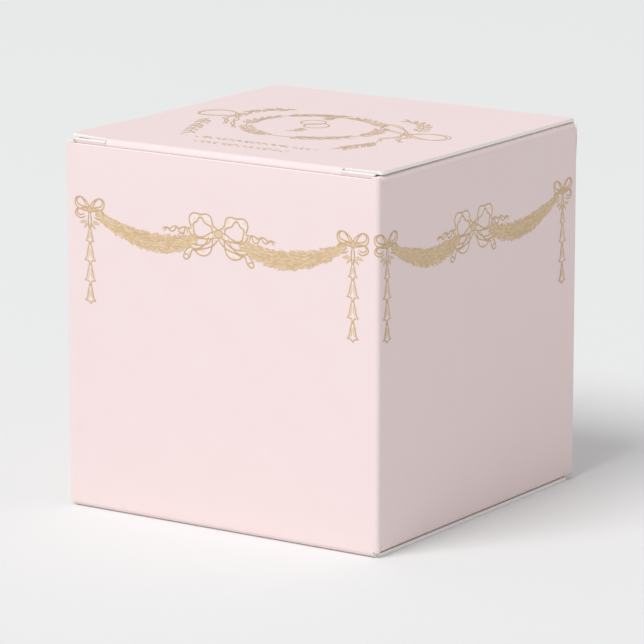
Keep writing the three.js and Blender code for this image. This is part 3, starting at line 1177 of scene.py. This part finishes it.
GREAT_LOOP = [(0.5, 0.25), (1.2, 1.15), (2.1, 2.0), (3.3, 2.15), (4.25, 1.5), (4.3, 0.35)]
LOOP_BACK = [(4.5, 0.45), (4.1, -0.45), (3.2, -0.8), (1.9, -0.6), (0.5, -0.1)]
GREAT_TAIL = [(0.45, -0.5), (1.0, -1.7), (2.0, -2.6), (3.3, -2.75), (4.5, -2.5), (5.3, -3.6)]
TAIL_FOLD = [(1.3, -0.6), (1.9, -1.4), (3.0, -2.0), (4.3, -2.0), (4.9, -1.1)]
SIDE_TAIL = [(4.6, -0.1), (5.4, 0.35), (6.1, -0.2), (6.9, 0.25), (7.7, -0.2), (8.5, 0), (9.1, -0.4)]
SMALL_LOOP = [(0.15, 0.2), (0.75, 1.1), (1.55, 1.65), (2.25, 1.3), (2.1, 0.5), (1.2, 0.15), (0.2, 0.0)]
SMALL_DROP = [(0.2, -0.1), (1.1, 0.1), (2.0, -0.05), (2.25, -0.7), (1.5, -1.05), (0.8, -0.75)]


GREAT_PARTS = [  # (shape, width, half twists, phase, tip, least), the hindmost first
    (GREAT_TAIL, 0.95, 2.0, 0.3, 1.0, 0.0),
    (TAIL_FOLD, 0.7, 1.0, 0.6, 0.8, 0.0),
    (SIDE_TAIL, 0.95, 6.0, 0.2, 0.35, 0.55),
    (LOOP_BACK, 0.85, 2.0, 0.25, 1.0, 0.6),
    (GREAT_LOOP, 1.3, 5.0, 0.9, 1.0, 0.66),
]


def great_bow(drawing, at):
    """The large centre bow: two ruffled loops, their backs, six tails and a knot."""
    angle = np.linspace(0, 2 * math.pi, 16, endpoint=False)
    curl = np.stack([0.42 * np.cos(angle), 0.36 * np.sin(angle)], axis=1)
    for side in (-1, 1):
        for shape, width, *twist in GREAT_PARTS:
            ribbon(drawing, moved(mirrored(shape, side), at), width, *twist)
        tail_end = moved(mirrored(GREAT_TAIL[-1:], side), at)[0]
        drawing.line(moved(curl, tail_end), closed=True)
    knot(drawing, at, 1.35, 1.15)


def small_bow(drawing, at):
    """A little corner bow, with two drooping folds under its loops."""
    for side in (-1, 1):
        ribbon(drawing, moved(mirrored(SMALL_DROP, side), at), 0.4, 1.0, 0.5)
        ribbon(drawing, moved(mirrored(SMALL_LOOP, side), at), 0.5, 1.0, 0.45)
    knot(drawing, at, 0.75, 0.85)


print(f"the great bow reaches {SIDE_TAIL[-1][0]} mm to each side, the small one {SMALL_LOOP[3][0]} mm")

# %% [markdown]
# ## One leaf
# A swag has hundreds of leaves, so a single leaf has to be cheap: six steps along its rib, and
# three points across. It is light on its rib and dark at its rim, which keeps neighbours apart.

# %% Draw a leaf
LEAF_STEPS = 6


def leaf_drawing(length, width):
    """A lance-shaped leaf along +x, light on its rib and dark at its rim."""
    drawing = Drawing()
    t = np.linspace(0, 1, LEAF_STEPS)
    reach = width / 2 * np.sin(math.pi * t**0.8) ** 0.9
    rib = np.stack([t * length, np.zeros(LEAF_STEPS)], axis=1)
    edge = np.stack([np.zeros(LEAF_STEPS), reach], axis=1)
    drawing.ridge(rib + edge, rib, rib - edge, 0.0, 0.009, 0.1, 0.7)
    return drawing


print("a leaf has", len(leaf_drawing(1.45, 0.5).faces), "faces")

# %% [markdown]
# ## One husk
# A bellflower husk is the classical link of such a chain: a narrow neck, a flared mouth with three
# lips, and a line inside each half. It is drawn once, from half its outline.

# %% Draw a husk
def husk_drawing():
    """A bellflower husk hanging down -y, for a chain."""
    drawing = Drawing()
    right = [(0.08, 0.2), (0.2, -0.3), (0.37, -0.9), (0.48, -1.5), (0.6, -1.95), (0.95, -2.3)]
    side = flowing(right, 0.2)
    lip = [(0.98, -2.3), (0.6, -2.25), (0.3, -2.35), (0, -2.75)]
    other = side * [-1, 1]
    drawing.fill(side, other)
    for sign in (-1, 1):
        drawing.line(side * [sign, 1], LINE)
        drawing.line(flowing(mirrored(lip, sign), 0.2), LINE)
        petal = mirrored([(0.1, -0.6), (0.14, -1.1), (0.2, -1.6), (0.38, -2.15)], sign)
        drawing.line(flowing(petal, 0.2), LINE * 1.1, GOLD)
    drawing.line(flowing([(-0.25, 0.1), (0, -0.05), (0.25, 0.1)], 0.1), LINE * 1.3)
    return drawing


print("a husk has", len(husk_drawing().faces), "faces")

# %% [markdown]
# ## Strewing copies along a path
# Leaves repeat by the hundred and husks hang in a row. A particle system could scatter them, but
# only roughly along a line, and a loop in Python would work and show nothing of how. Geometry Nodes
# do it with named inputs, so one tree makes a dense swag, a loose vine and a row of husks.

# %% Name the tree's inputs
TREE_INPUTS = {
    "Path": "Geometry",
    "Piece": "Object",
    "Ink": "Material",
    "Count": "Int",
    "Rows": "Int",
    "Fan": "Float",
    "Near Size": "Float",
    "Far Size": "Float",
    "Loose": "Float",
    "Seed": "Int",
}


def tree_with_inputs():
    """A new tree with its inputs and its output named: its graph, and a wire for each input."""
    tree = bpy.data.node_groups.new("strewn_along_a_path", "GeometryNodeTree")
    for name, kind in TREE_INPUTS.items():
        tree.interface.new_socket(name=name, in_out="INPUT", socket_type=f"NodeSocket{kind}")
    tree.interface.new_socket(name="Print", in_out="OUTPUT", socket_type="NodeSocketGeometry")
    graph = Graph(tree)
    entry = tree.nodes.new("NodeGroupInput")
    return graph, {name: Wire(graph, entry.outputs[name]) for name in TREE_INPUTS}


print("the strewing tree takes", ", ".join(TREE_INPUTS))

# %% [markdown]
# The tree walks along a path, steps from side to side in rows, turns each copy with the path and
# fans it out, and gives each its own size and shade from a fixed seed. The path's radius is half
# the garland's width. The tree ends in Realize Instances and Set Material.

# %% The tree that strews copies along a path
LEAF_LIFT = 0.012  # the lowest copy's height over the board, and the spread of heights above it


def strewing_tree():
    """Geometry nodes that set copies of a drawn piece along a path, in rows."""
    graph, given = tree_with_inputs()
    tree = graph.tree

    def chance(offset):
        sockets = {2: -1.0, 3: 1.0, "Seed": given["Seed"] + offset}
        return graph.node("FunctionNodeRandomValue", {"data_type": "FLOAT"}, sockets, out=1)

    index = graph.node("GeometryNodeInputIndex")
    along = (index + 0.5 + chance(0) * given["Loose"]) / given["Count"]
    row = graph.maths("MODULO", index, given["Rows"])
    across = (row + 0.5) / given["Rows"] * 2.0 - 1.0
    radius = graph.node("GeometryNodeInputRadius")
    sampler = tree.nodes.new("GeometryNodeSampleCurve")
    sampler.mode = "FACTOR"
    for name, wire in {"Curves": given["Path"], "Value": radius, "Factor": along}.items():
        tree.links.new(wire.socket, sampler.inputs[name])
    width, spot, tangent = (Wire(graph, sampler.outputs[k]) for k in (0, 1, 2))
    split = tree.nodes.new("ShaderNodeSeparateXYZ")
    tree.links.new(tangent.socket, split.inputs[0])
    heading = graph.maths("ARCTAN2", Wire(graph, split.outputs[1]), Wire(graph, split.outputs[0]))
    aside = (across + chance(1) * given["Loose"] * 0.2) * width
    lift = graph.maths("FRACT", index * 0.618) * LEAF_LIFT + LEAF_LIFT
    left = graph.maths("SINE", heading) * aside * -1.0
    forward = graph.maths("COSINE", heading) * aside
    step = {"X": left, "Y": forward, "Z": lift}
    offset = graph.node("ShaderNodeCombineXYZ", {}, step)
    place = graph.node("ShaderNodeVectorMath", {"operation": "ADD"}, {0: spot, 1: offset})
    points = graph.node("GeometryNodePoints", {}, {"Count": given["Count"], "Position": place})
    piece = graph.node("GeometryNodeObjectInfo", {}, {"Object": given["Piece"]}, out="Geometry")
    turn = heading + across * given["Fan"] + chance(2) * given["Loose"] * 0.35
    grown = given["Near Size"] + (given["Far Size"] - given["Near Size"]) * along
    size = grown * (1.0 + chance(3) * given["Loose"] * 0.18)
    sockets = {
        "Points": points,
        "Instance": piece,
        "Rotation": graph.node("ShaderNodeCombineXYZ", {}, {"Z": turn}),
        "Scale": graph.node("ShaderNodeCombineXYZ", {}, {"X": size, "Y": size, "Z": 1.0}),
    }
    copies = graph.node("GeometryNodeInstanceOnPoints", {}, sockets)
    sockets = {"Geometry": copies, "Name": "shade", "Value": chance(4)}
    shaded = graph.node("GeometryNodeStoreNamedAttribute", {"domain": "INSTANCE"}, sockets)
    real = graph.node("GeometryNodeRealizeInstances", {}, {"Geometry": shaded})
    inked = graph.node("GeometryNodeSetMaterial", {}, {"Geometry": real, "Material": given["Ink"]})
    exit_node = tree.nodes.new("NodeGroupOutput")
    tree.links.new(inked.socket, exit_node.inputs[0])
    return tree


STREW = strewing_tree()
print("the strewing tree has", len(STREW.nodes), "nodes")

# %% [markdown]
# ## Running the tree
# The tree is a modifier on a curve. Its inputs are set by their identifiers before the object is
# first evaluated. The result is read back as plain points and faces and goes into the same drawing
# as the pen lines, so a wall's print is one mesh, and the curve and the drawn copy are deleted.

# %% Strew copies and take them into a drawing
SHADE = 0.16  # how far a copy's tone may lie from the drawn one
PLAIN = {"Rows": 1, "Fan": 0.0, "Near Size": 1.0, "Far Size": 1.0, "Loose": 0.0, "Seed": 1}


def path_curve(points, widths):
    """A flat curve whose radius is half the garland's width."""
    curve = bpy.data.curves.new("draft_path", "CURVE")
    curve.dimensions = "3D"
    spline = curve.splines.new("POLY")
    spline.points.add(len(points) - 1)
    for point, (x, y), width in zip(spline.points, points, widths):
        point.co = (x, y, 0, 1)
        point.radius = width
    made = bpy.data.objects.new("draft_path", curve)
    bpy.context.scene.collection.objects.link(made)
    return made


def strew(drawing, piece, points, widths, **inputs):
    """Runs the tree on a path and takes its marks into the drawing."""
    draft = piece.draft("draft_piece")
    path = path_curve(points, widths)
    modifier = path.modifiers.new("strewn", "NODES")
    modifier.node_group = STREW
    values = {"Piece": draft, "Ink": GOLD_INK} | PLAIN
    values |= {name.replace("_", " ").title(): value for name, value in inputs.items()}
    for socket in STREW.interface.items_tree:
        if socket.name in values:
            modifier[socket.identifier] = values[socket.name]
    bpy.context.view_layer.update()
    seen = path.evaluated_get(bpy.context.evaluated_depsgraph_get())
    mesh = bpy.data.meshes.new_from_object(seen)
    points = np.array([v.co for v in mesh.vertices], float)
    tones = np.zeros(len(points), np.float32)
    mesh.attributes["tone"].data.foreach_get("value", tones)
    shades = np.zeros(len(points), np.float32)
    mesh.attributes["shade"].data.foreach_get("value", shades)
    tones = np.where(tones < 0.9, np.clip(tones + shades * SHADE, 0, 0.85), tones)
    drawing.add(points, [list(p.vertices) for p in mesh.polygons], tones)
    path.modifiers.remove(modifier)
    for extra in (path, draft):
        bpy.data.objects.remove(extra)


print("a path may leave out", ", ".join(PLAIN))

# %% [markdown]
# ## Laying ink on board
# A print has to follow the board. Shrinkwrap would pull the ink onto the nearest face and flatten
# its ridges. The flat drawing is placed point by point with the function that bent the board, so it
# follows the panel's swell and keeps its height above it.

# %% Lay a drawing on the board
INK_SHARP = math.radians(70)


def lay(drawing, name, place, body):
    """Makes the drawing a piece of the box: `place` takes flat x, y and lift."""
    flat = np.concatenate(drawing.points)
    points = place(flat[:, 0], flat[:, 1], -flat[:, 2])
    tones = np.concatenate(drawing.tones)
    piece = to_mesh(name, points, drawing.faces, [0] * len(drawing.faces), [GOLD_INK], tone=tones)
    face_outwards(piece, sharp=INK_SHARP)
    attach(piece, body)
    print(f"{name}: {len(drawing.faces)} faces of ink")
    return piece


print("ink keeps edges sharper than", round(math.degrees(INK_SHARP)), "degrees")

# %% [markdown]
# ## The festoon's layout
# A leafy swag hangs from a little bow near each corner to a great bow in the middle, and a chain of
# husks hangs under each little bow. One layout could serve all four walls, but a real sheet is cut
# a little off its print, so each wall has its own three places across.

# %% Sizes of the festoon
FEATHER = leaf_drawing(0.85, 0.32)
LEAF = leaf_drawing(1.45, 0.5)
GREAT_LEAF = leaf_drawing(1.9, 0.66)
HUSK = husk_drawing()
CORNER_BOW_HEIGHT = 41.9
GREAT_BOW_HEIGHT = 40.9
SWAG_SHAPE = [(1.0, -0.35), (3.6, -1.6), (7.0, -2.75), (10.4, -3.3), (13.9, -3.15), (17.3, -2.1)]
SWAG_WIDTHS = [0.22, 0.72, 1.02, 1.1, 0.92, 0.35]
SWAG_REACH = 21.35
LAYOUT = {
    "front": (-21.35, 0.0, 21.35),
    "right": (-23.4, -2.2, 21.4),
    "back": (-21.6, -0.2, 21.2),
    "left": (-21.8, -0.6, 21.0),
}
print("walls with a festoon:", list(LAYOUT))

# %% [markdown]
# ## A chain of husks
# The chain hangs straight down: two strings from the bow, a spray of leaves at its head, and four
# husks that get a little smaller. The strewing tree sets them out, on a path that runs downwards, so
# the husk is first turned to point along its path.

# %% Hang a chain
SPRAY = ((-2.9, 0.9), (-0.25, 0.9), (-2.3, 0.75), (-0.9, 0.75), (-1.57, 0.8))  # (angle, leaf size)
THIN = [0.1, 0.1]  # the widths of a path with no garland to it


def hang_chain(drawing, at, seed):
    """A chain of husks under a corner bow, with a sprig of leaves at its head."""
    x, y = at
    for way in (-0.25, 0.25):
        string = [(x + way * 0.5, y - 0.4), (x + way, y - 1.5), (x + way * 0.4, y - 2.9)]
        drawing.line(flowing(string, 0.2))
    heart = np.array([x, y - 1.5])
    for angle, size in SPRAY:
        tip = heart + 0.9 * np.array([math.cos(angle), math.sin(angle)])
        stem = [tuple(heart), tuple(tip)]
        strew(drawing, LEAF, stem, THIN, count=1, near_size=size, far_size=size)
    head = [(x, y - 2.2), (x, y - 4.9)]
    strew(drawing, HUSK_POINTING, head, THIN, count=1, near_size=0.78, far_size=0.78)
    fall = [(x, y - 4.6), (x, y - 13.1)]
    strew(drawing, HUSK_POINTING, fall, THIN, count=3, near_size=1.04, far_size=0.94, seed=seed)


def pointing_along_x(drawing):
    """The husk, turned to hang along the path that it is strewn on, and centred on its point."""
    made = Drawing()
    points = np.concatenate(drawing.points)
    turned = np.stack([-points[:, 1] - 1.3, points[:, 0], points[:, 2]], axis=1)
    made.add(turned, drawing.faces, np.concatenate(drawing.tones))
    return made


HUSK_POINTING = pointing_along_x(HUSK)
print("a chain has", len(SPRAY), "leaves at its head and four husks")

# %% [markdown]
# ## The swag
# A swag is thickest where it hangs lowest. It could be one band with a leafy texture, but its edge
# would be smooth. Here a plain band of gold lies under several hundred small leaves in seven rows,
# so no board shows through and the leaf tips make the edge.

# %% Hang a swag and compose a festoon
SWAG_LEAVES = 440
SWAG_MANNER = {"rows": 7, "fan": 0.45, "near_size": 0.8, "far_size": 0.95, "loose": 0.8}


def hang_swag(drawing, start, end, side, seed):
    """A swag of leaves from a corner bow towards the great bow."""
    stretch = abs(end[0] - start[0]) / SWAG_REACH
    shape = [(start[0] + side * x * stretch, start[1] + y) for x, y in SWAG_SHAPE]
    path = flowing(shape, 0.5)
    share = np.linspace(0, 1, len(path))
    widths = np.interp(share, np.linspace(0, 1, len(SWAG_WIDTHS)), SWAG_WIDTHS)
    normal = normals_of(path) * (widths * 0.9)[:, None]
    drawing.fill(path + normal, path - normal, GOLD)
    strew(drawing, FEATHER, path, widths, count=SWAG_LEAVES, seed=seed, **SWAG_MANNER)


def festoon(wall_name, seed):
    """The whole print of one wall."""
    drawing = Drawing()
    left, middle, right = LAYOUT[wall_name]
    bow = (middle, GREAT_BOW_HEIGHT)
    for side, x in ((1, left), (-1, right)):
        corner = (x, CORNER_BOW_HEIGHT)
        hang_swag(drawing, corner, bow, side, seed + side)
        hang_chain(drawing, corner, seed)
        small_bow(drawing, corner)
    great_bow(drawing, bow)
    return drawing


print("a festoon has", 2 * SWAG_LEAVES, "small leaves")

# %% [markdown]
# ## Printing the walls
# Each wall's festoon is laid on with the sleeve's own function, shifted to the middle of its wall.
# The seed differs from wall to wall, so no two swags have the same leaves.

# %% Print the four walls
for wall_name, wall in WALLS.items():
    middle = wall * wall_pitch

    def on_wall(x, z, depth, middle=middle):
        return sleeve_place(middle + x, z, depth)

    lay(festoon(wall_name, 10 + 7 * wall), f"{wall_name}_wall_festoon", on_wall, "sleeve")

# %% [markdown]
# ## The wreath on the lid
# The lid carries an oval wreath: leafy stems that climb from the foot to the head on a thin line. A
# ring of evenly turned leaves would look like a gear. Each stem is a vine of its own, with leaves
# loosely in pairs, and gaps between one stem and the next.

# %% Draw the wreath
WREATH_AT = (-0.8, -1.5)
WREATH_SIZE = (9.6, 8.5)
STEMS = [(-82, -30, 14), (-20, 22, 11), (32, 84, 14)]  # (from, to, leaves), in degrees round the oval
STEMS += [(-98, -148, 14), (-158, -206, 12), (-214, -266, 14)]


def vine(drawing, path, count, seed, spread_out=0.5, size=0.95, far_size=0.8):
    """A thin stem with leaves in pairs."""
    drawing.line(path, LINE)
    widths = [spread_out] * len(path)
    manner = {"rows": 2, "fan": 1.0, "near_size": size, "far_size": far_size, "loose": 0.3}
    strew(drawing, GREAT_LEAF, path, widths, count=count, seed=seed, **manner)


def arc_points(centre, size, start, end, count=30):
    """Points on an oval, angles in degrees."""
    angle = np.radians(np.linspace(start, end, count))
    return np.stack([centre[0] + size[0] * np.cos(angle), centre[1] + size[1] * np.sin(angle)], axis=1)


def wreath(drawing):
    """Two vines that climb the oval from the foot to the head, with gaps between their sprigs."""
    for k, (start, end, count) in enumerate(STEMS):
        vine(drawing, arc_points(WREATH_AT, WREATH_SIZE, start, end), count, 40 + k)
    drawing.line(arc_points(WREATH_AT, WREATH_SIZE, 0, 354, 150), LINE * 0.8, closed=True)


print("the wreath has", len(STEMS), "stems and", sum(count for _, _, count in STEMS), "leaves")

# %% [markdown]
# ## The rest of the lid's print
# A bow of thin ribbon sits at each side of the wreath, and four loose sprigs stand round it. Inside
# it are two plain rings, and towards the front two rows of small leaves. Each ribbon and sprig
# is a few listed points, because a rule would make them look stamped.

# %% Print the lid
LEFT_KNOT = (-14.6, 0.2)
RIGHT_KNOT = (13.0, 0.6)
SPRIGS = [
    [(-10.0, 8.2), (-13.2, 7.0), (-14.6, 3.6), (-14.4, 0.6)],
    [(13.4, 2.8), (12.2, 6.2), (10.2, 8.6), (7.4, 9.4)],
    [(-17.0, -3.4), (-15.6, -7.2), (-14.2, -11.0), (-12.6, -14.6)],
    [(13.0, -6.6), (12.8, -8.8), (12.0, -11.0), (11.4, -13.2)],
]
SIDE_LOOPS = [
    (LEFT_KNOT, [(-0.2, 0.2), (-2.2, 2.4), (-5, 2.6), (-6.3, 0.6), (-5.4, -1.6), (-3, -1.5), (-0.2, -0.1)]),
    (RIGHT_KNOT, [(0.2, 0.2), (2.4, 1.9), (5, 2), (6.3, 0.4), (5.4, -1.5), (3, -1.6), (0.2, -0.2)]),
    (RIGHT_KNOT, [(-0.2, 0.2), (-1.6, 2.2), (-4.6, 4.6), (-6.4, 4.4), (-5.6, 2.6), (-2.6, 0.8), (-0.2, 0)]),
]
SIDE_TAILS = [
    (RIGHT_KNOT, [(0.3, -0.4), (1.5, -2.0), (1.0, -3.6), (2.6, -5.6)]),
    (RIGHT_KNOT, [(-0.2, -0.5), (0.1, -2.6), (-1.0, -4.6), (-0.2, -6.6)]),
    (LEFT_KNOT, [(0.3, -0.5), (1.6, -2.6), (2.6, -5.0), (5.0, -8.2)]),
    (LEFT_KNOT, [(-0.3, -0.5), (-0.5, -2.2), (1.0, -4.2), (2.2, -6.4)]),
]
INNER_SPRIGS = [  # (points, leaves)
    ([(-1.9, 3.4), (-2.4, 4.8), (-2.2, 6.6)], 8),
    ([(-1.3, -3.2), (-0.9, -4.4), (-1.2, -5.6)], 7),
]
RINGS = ((-2.5, 1.0), (-0.7, -0.9))
RING_SIZE = (1.75, 1.75)
LEAF_ROWS = [(-15.9, -10.6, 8.8, 34), (-18.8, -8.8, 6.0, 26)]  # (y, from x, to x, leaves)
ROW_MANNER = {"rows": 2, "fan": 0.8, "near_size": 0.62, "far_size": 0.62, "loose": 0.5}


def lid_print():
    """The whole print of the lid."""
    drawing = Drawing()
    wreath(drawing)
    for k, sprig in enumerate(SPRIGS):
        vine(drawing, flowing(sprig, 0.5), 13, 60 + k)
    for at, tail in SIDE_TAILS:
        ribbon(drawing, moved(tail, at), 0.7, 3.0, 0.4, tip=0.6)
    for at, loop in SIDE_LOOPS:
        ribbon(drawing, moved(loop, at), 0.6, 2.0, 0.5)
    for at in (LEFT_KNOT, RIGHT_KNOT):
        knot(drawing, at, 1.2, 1.1)
    for ring in RINGS:
        drawing.line(arc_points(ring, RING_SIZE, 0, 352, 44), LINE * 1.2, closed=True)
    for k, (sprig, count) in enumerate(INNER_SPRIGS):
        vine(drawing, flowing(sprig, 0.4), count, 80 + k, 0.3, 0.8, 0.7)
    for k, (y, start, end, count) in enumerate(LEAF_ROWS):
        row = flowing([(start, y), (end, y)], 0.6)
        strew(drawing, LEAF, row, [0.24] * len(row), count=count, seed=90 + k, **ROW_MANNER)
    return drawing


lay(lid_print(), "lid_wreath", cover_place, "lid")

# %% [markdown]
# ## The studio floor
# The box stands on a plain white sheet of paper. A curved sweep would hide the horizon from a low
# camera, but this camera looks down, so a flat floor that is large enough fills the view.

# %% Lay the floor
def make_floor():
    """A plain pale floor, large enough to fill the view."""
    reach = 4.0
    mesh = bpy.data.meshes.new("studio_floor")
    corners = [(-reach, -reach, 0), (reach, -reach, 0), (reach, reach, 0), (-reach, reach, 0)]
    mesh.from_pydata(corners, [], [(0, 1, 2, 3)])
    floor = bpy.data.objects.new("studio_floor", mesh)
    bpy.context.scene.collection.objects.link(floor)
    material, graph, shader, place = finish("studio_paper", Specular_IOR_Level=0.0)
    grain = graph.noise(place, 3.0, detail=2.0)
    feed(graph, shader, "Base Color", graph.blend(grain, paint(232, 233, 233), paint(234, 235, 235)))
    shader.inputs["Roughness"].default_value = 0.9
    mesh.materials.append(material)
    return floor


studio_floor = make_floor()
print("floor:", tuple(round(side, 1) for side in studio_floor.dimensions), "metres")

# %% [markdown]
# ## Light
# One large soft light stands high up in front, a little to the left, and an even white surround
# fills the shadows. Three lights are the usual studio set, but a second light would draw a second
# shadow. The light's size sets how soft the shadow's edge is.

# %% Set the light
def direction(azimuth, elevation):
    """From the box towards a point at this azimuth and elevation, in degrees."""
    a, e = math.radians(azimuth), math.radians(elevation)
    return Vector((math.sin(a) * math.cos(e), -math.cos(a) * math.cos(e), math.sin(e)))


def soft_light(name, azimuth, elevation, distance, size, power):
    """A square area light that looks at the box."""
    data = bpy.data.lights.new(name, "AREA")
    data.shape = "SQUARE"
    data.size = size
    data.energy = power
    light = bpy.data.objects.new(name, data)
    way = direction(azimuth, elevation)
    light.location = way * distance
    light.rotation_euler = way.to_track_quat("Z", "Y").to_euler()
    bpy.context.scene.collection.objects.link(light)
    return light


soft_light("key_light", azimuth=-14, elevation=54.5, distance=8.0, size=4.0, power=410.0)
world = bpy.data.worlds.new("studio")
world.use_nodes = True
surround = world.node_tree.nodes["Background"]
surround.inputs["Color"].default_value = (1.0, 1.0, 1.0, 1.0)
surround.inputs["Strength"].default_value = 0.53
bpy.context.scene.world = world
bpy.context.scene.view_settings.view_transform = "Standard"
lights = [o.name for o in bpy.data.objects if o.type == "LIGHT"]
print("lights:", lights, "and a surround of strength", round(surround.inputs["Strength"].default_value, 2))

# %% [markdown]
# ## Camera
# The camera stands about 34 degrees to the right of the front and 13 degrees above. A wide lens
# close by would make the near corner loom, so a long lens stands well back, and the edges stay
# almost parallel, as in a catalogue.

# %% Set the camera
def make_camera(azimuth, elevation, distance, lens, across, up):
    """A level camera; across and up move its aim from the box's middle."""
    data = bpy.data.cameras.new("camera")
    data.sensor_width = 36.0
    data.lens = lens
    data.clip_start = 0.05
    data.clip_end = 20.0
    camera = bpy.data.objects.new("camera", data)
    back = direction(azimuth, elevation)
    right = Vector((math.cos(math.radians(azimuth)), math.sin(math.radians(azimuth)), 0))
    middle = Vector((0, 0, (top / 2 - 0.45) * MM))
    aim = middle + right * across + back.cross(right) * up
    camera.location = aim + back * distance
    camera.rotation_mode = "QUATERNION"
    camera.rotation_quaternion = back.to_track_quat("Z", "Y")
    bpy.context.scene.collection.objects.link(camera)
    bpy.context.scene.camera = camera
    return camera


camera = make_camera(
    azimuth=33.67,
    elevation=12.63,
    distance=0.6114,
    lens=246.7,
    across=-0.00034,
    up=-0.00118,
)
print(f"camera: {camera.data.lens:.1f} mm lens, {camera.location.length:.2f} m from the box")

# %% [markdown] ## Finish
